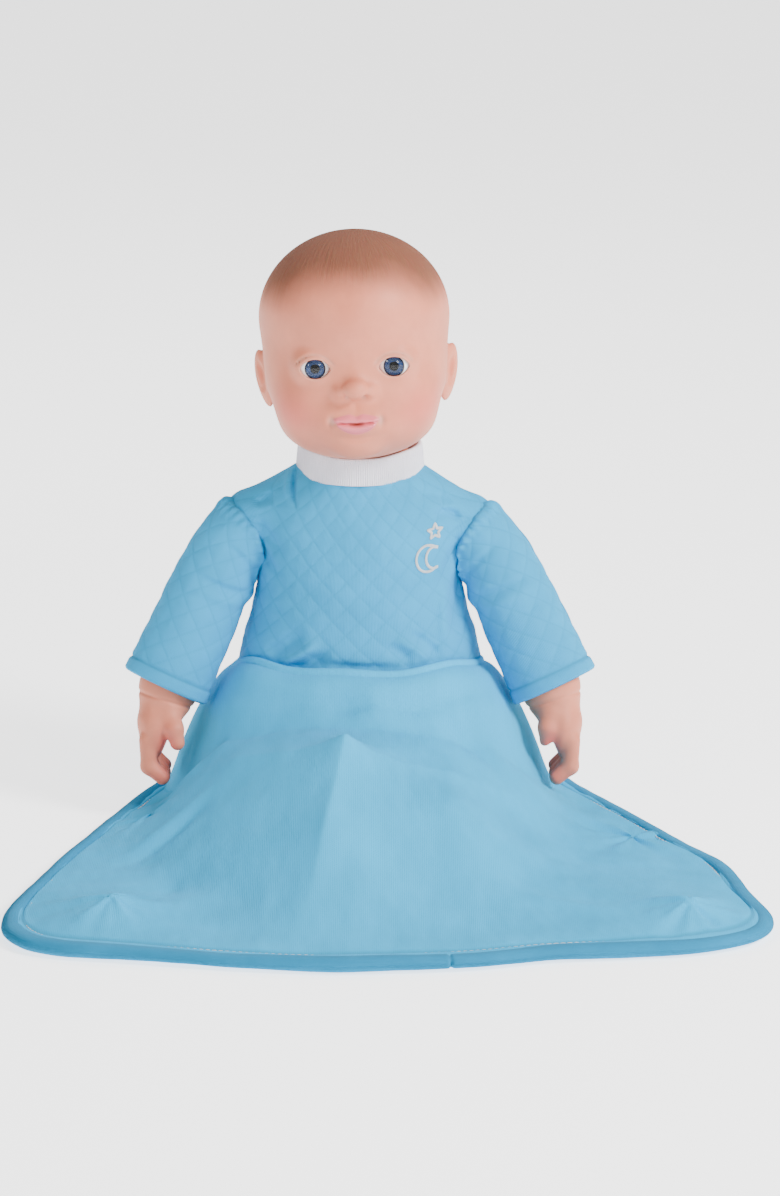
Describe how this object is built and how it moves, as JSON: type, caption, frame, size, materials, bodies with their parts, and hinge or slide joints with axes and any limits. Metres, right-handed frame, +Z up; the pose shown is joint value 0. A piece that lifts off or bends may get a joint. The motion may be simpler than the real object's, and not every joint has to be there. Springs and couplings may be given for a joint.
{
  "type": "interactive baby doll",
  "caption": "Soft-bodied talking baby doll with vinyl head and hands, seated in a quilted sleeping bag; head and arms move, and a tummy button works a sound module.",
  "frame": {"origin": "on the floor under the middle of the torso, on the sleeping bag's underside", "axes": "+Z up, the doll faces -Y, its own left side is +X"},
  "size_m": [0.392, 0.351, 0.3272],
  "materials": {
    "skin_vinyl": "satin",
    "eye_white": "gloss",
    "iris_blue": "gloss",
    "cornea_clear": "gloss",
    "white_plastic": "satin",
    "body_cloth": "matte",
    "polyester_fill": "matte",
    "blue_quilt": "matte",
    "blue_jersey": "matte",
    "blue_binding": "matte",
    "white_rib": "matte",
    "white_thread": "satin",
    "hook_and_loop": "matte",
    "grey_plastic": "matte",
    "steel": "satin",
    "battery_wrap": "gloss",
    "green_board": "satin",
    "black_plastic": "matte",
    "speaker_paper": "matte",
    "wire_cover": "satin"
  },
  "bodies": {
    "torso": {"torso_cloth": "body_cloth", "bodice": "blue_quilt", "collar_band": "white_rib", "chest_emblem": "white_thread", "back_closure": "hook_and_loop", "sack_front_panel": "blue_jersey", "sack_back_panel": "blue_jersey", "sack_binding": "blue_binding", "tummy_spring": "steel", "torso_stuffing": "polyester_fill", "module_front_case": "grey_plastic", "module_rear_case": "grey_plastic", "case_screws": "steel", "battery_door": "grey_plastic", "battery_door_screw": "steel", "battery_cells": "battery_wrap", "battery_contacts": "steel", "speaker_basket": "black_plastic", "speaker_cone": "speaker_paper", "speaker_magnet": "steel", "circuit_board": "green_board", "board_components": "black_plastic", "slide_switch": "black_plastic", "module_wires": "wire_cover"},
    "neck": {"neck_spool": "white_plastic", "neck_washer": "white_plastic", "neck_gather": "body_cloth", "neck_tie": "white_plastic"},
    "head": {"head_shell": "skin_vinyl", "left_eye": "eye_white", "right_eye": "eye_white", "left_iris": "iris_blue", "right_iris": "iris_blue", "left_cornea": "cornea_clear", "right_cornea": "cornea_clear", "eye_retainers": "white_plastic"},
    "button": {"tummy_button": "white_plastic"},
    "switch": {"switch_knob": "black_plastic"},
    "left_arm": {"left_upper_arm": "body_cloth", "left_arm_tie": "white_plastic", "left_forearm": "skin_vinyl", "left_sleeve": "blue_quilt"},
    "left_leg": {"left_thigh": "body_cloth", "left_leg_tie": "white_plastic", "left_lower_leg": "skin_vinyl"},
    "right_arm": {"right_upper_arm": "body_cloth", "right_arm_tie": "white_plastic", "right_forearm": "skin_vinyl", "right_sleeve": "blue_quilt"},
    "right_leg": {"right_thigh": "body_cloth", "right_leg_tie": "white_plastic", "right_lower_leg": "skin_vinyl"}
  },
  "joints": [
    {"name": "head_nod", "type": "hinge", "parent": "torso", "child": "neck", "pos_m": [0, 0.005, 0.192], "axis": [-1, 0, 0], "range_deg": [0, 7]},
    {"name": "head_turn", "type": "hinge", "parent": "neck", "child": "head", "pos_m": [0, 0.005, 0.2], "axis": [0, 0, 1], "range_deg": [-60, 60]},
    {"name": "left_shoulder", "type": "hinge", "parent": "torso", "child": "left_arm", "pos_m": [0.064, 0, 0.168], "axis": [-1, 0, 0], "range_deg": [-10, 95]},
    {"name": "right_shoulder", "type": "hinge", "parent": "torso", "child": "right_arm", "pos_m": [-0.064, 0, 0.168], "axis": [-1, 0, 0], "range_deg": [-10, 95]},
    {"name": "left_hip", "type": "hinge", "parent": "torso", "child": "left_leg", "pos_m": [0.036, -0.054, 0.027], "axis": [0, 0, 1], "range_deg": [-5, 5]},
    {"name": "right_hip", "type": "hinge", "parent": "torso", "child": "right_leg", "pos_m": [-0.036, -0.054, 0.027], "axis": [0, 0, -1], "range_deg": [-5, 5]},
    {"name": "tummy_press", "type": "slide", "parent": "torso", "child": "button", "axis": [0, 1, 0], "range_m": [0, 0.002], "stiffness_N_per_m": 400, "springref_m": -0.002, "deforming": ["tummy_spring"]},
    {"name": "power_switch", "type": "slide", "parent": "torso", "child": "switch", "axis": [1, 0, 0], "range_m": [0, 0.004]}
  ]
}
